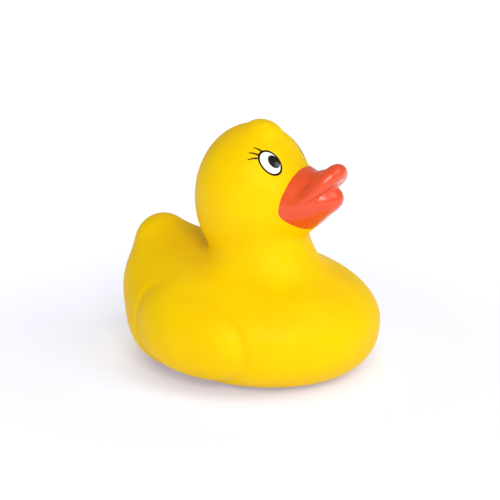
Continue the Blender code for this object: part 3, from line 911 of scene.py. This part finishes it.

# %% [markdown]
# ## Studio
#
# A pale paper floor, a white room and two round soft boxes. The room does nearly half of the lighting, as a light
# tent does, and keeps the shadows pale. The key stands in front, a little to the duck's right, and gives the lips
# their gloss. The side box stands higher, in front of the breast. The paper glows, as on a light table, and more so
# away from the duck, so the background stays white while the floor round the duck keeps a soft grey, which is
# painted shade. Under the hull it glows less than half as much, which is a painted contact shadow, and a little
# blue, against the yellow that the hull throws down.
#
# The camera stands a little above the duck, in front of its right side, and far enough away for little perspective.

# %% Camera
CAMERA_AZIMUTH, CAMERA_ELEVATION = 33.0, 18.0
CAMERA_DISTANCE, CAMERA_SCALE = 700.0, 3.2
SENSOR_WIDTH, IMAGE_WIDTH = 36.0, 500.0
LOOK_RIGHT, LOOK_UP = 0.06, 33.75


def direction(azimuth, elevation):
    """From the duck towards a place round it: azimuth 0 is the duck's right, 90 its front."""
    a, e = math.radians(azimuth), math.radians(elevation)
    return Vector((math.sin(a) * math.cos(e), -math.cos(a) * math.cos(e), math.sin(e)))


def studio_camera():
    back = direction(CAMERA_AZIMUTH, CAMERA_ELEVATION)
    right = direction(CAMERA_AZIMUTH + 90.0, 0.0)
    target = Vector(FOOT) + (right * LOOK_RIGHT + back.cross(right) * LOOK_UP) * MM
    camera = bpy.data.objects.new("camera", bpy.data.cameras.new("camera"))
    camera.data.sensor_width = SENSOR_WIDTH
    camera.data.lens = SENSOR_WIDTH * CAMERA_DISTANCE * CAMERA_SCALE / IMAGE_WIDTH
    camera.location = target + back * CAMERA_DISTANCE * MM
    camera.rotation_euler = back.to_track_quat("Z", "Y").to_euler()
    bpy.context.scene.collection.objects.link(camera)
    bpy.context.scene.camera = camera
    return target


look_at = studio_camera()
print("the camera looks at", [round(value, 4) for value in look_at])

# %% Floor
FLOOR_HALF_SIZE = 3.0
PAPER_COLOUR, PAPER_ROUGHNESS = (0.60, 0.61, 0.68, 1.0), 0.9
# The paper's glow carries painted shade: less glow round the duck, a painted soft grey, and less than half under the
# hull, a painted contact shadow.
GLOW_IN_PAINTED_SHADOW, GLOW_IN_PAINTED_SHADE, GLOW_FAR = (0.20, 0.22, 0.36, 1.0), (0.47, 0.475, 0.51, 1.0), (0.70, 0.70, 0.70, 1.0)
PAINTED_SHADOW_RANGE, PAINTED_SHADE_RANGE = (27.0, 45.0), (60.0, 200.0)


def paper_floor():
    mesh = bpy.data.meshes.new("floor")
    grid = bmesh.new()
    bmesh.ops.create_grid(grid, x_segments=1, y_segments=1, size=FLOOR_HALF_SIZE,
                          matrix=Matrix.Translation((0.0, 0.0, FOOT[2])))
    grid.to_mesh(mesh)
    grid.free()
    floor = bpy.data.objects.new("floor", mesh)
    bpy.context.scene.collection.objects.link(floor)
    paper = bpy.data.materials.new("white_paper")
    paper.use_nodes = True
    nodes, links = paper.node_tree.nodes, paper.node_tree.links
    shader = nodes["Principled BSDF"]
    shader.inputs["Base Color"].default_value = PAPER_COLOUR
    shader.inputs["Roughness"].default_value = PAPER_ROUGHNESS
    shader.inputs["Specular IOR Level"].default_value = 0.0
    place, away = nodes.new("ShaderNodeTexCoord"), nodes.new("ShaderNodeVectorMath")
    away.operation = "DISTANCE"
    away.inputs[1].default_value = FOOT
    links.new(place.outputs["Object"], away.inputs[0])
    # Painted contact shadow under the hull and painted shade round the duck, by the distance from the foot.
    clear, far = (ramp(nodes, links, away.outputs["Value"], start * MM, end * MM)
                  for start, end in (PAINTED_SHADOW_RANGE, PAINTED_SHADE_RANGE))
    glow = colour_mix(nodes, links, clear, GLOW_IN_PAINTED_SHADOW, GLOW_IN_PAINTED_SHADE)
    links.new(colour_mix(nodes, links, far, glow, GLOW_FAR), shader.inputs["Emission Color"])
    shader.inputs["Emission Strength"].default_value = 1.0
    mesh.materials.append(paper)


paper_floor()

# %% Lights
KEY_AZIMUTH, KEY_ELEVATION, KEY_SIZE, KEY_POWER = 40.0, 34.0, 0.7, 10.0
SIDE_AZIMUTH, SIDE_ELEVATION, SIDE_SIZE, SIDE_POWER = 95.0, 45.0, 1.0, 5.5
LIGHT_DISTANCE = 1.5
ROOM_LIGHT = 0.41


def soft_box(name, azimuth, elevation, size, power):
    light = bpy.data.lights.new(name, "AREA")
    light.shape = "DISK"
    light.size = size
    light.energy = power
    box = bpy.data.objects.new(name, light)
    away = direction(azimuth, elevation)
    box.location = look_at + away * LIGHT_DISTANCE
    box.rotation_euler = away.to_track_quat("Z", "Y").to_euler()
    bpy.context.scene.collection.objects.link(box)


soft_box("key", KEY_AZIMUTH, KEY_ELEVATION, KEY_SIZE, KEY_POWER)
soft_box("side", SIDE_AZIMUTH, SIDE_ELEVATION, SIDE_SIZE, SIDE_POWER)
room = bpy.data.worlds.new("white_room")
room.use_nodes = True
room.node_tree.nodes["Background"].inputs["Color"].default_value = (1.0, 1.0, 1.0, 1.0)
room.node_tree.nodes["Background"].inputs["Strength"].default_value = ROOM_LIGHT
bpy.context.scene.world = room
bpy.context.scene.view_settings.view_transform = "Standard"
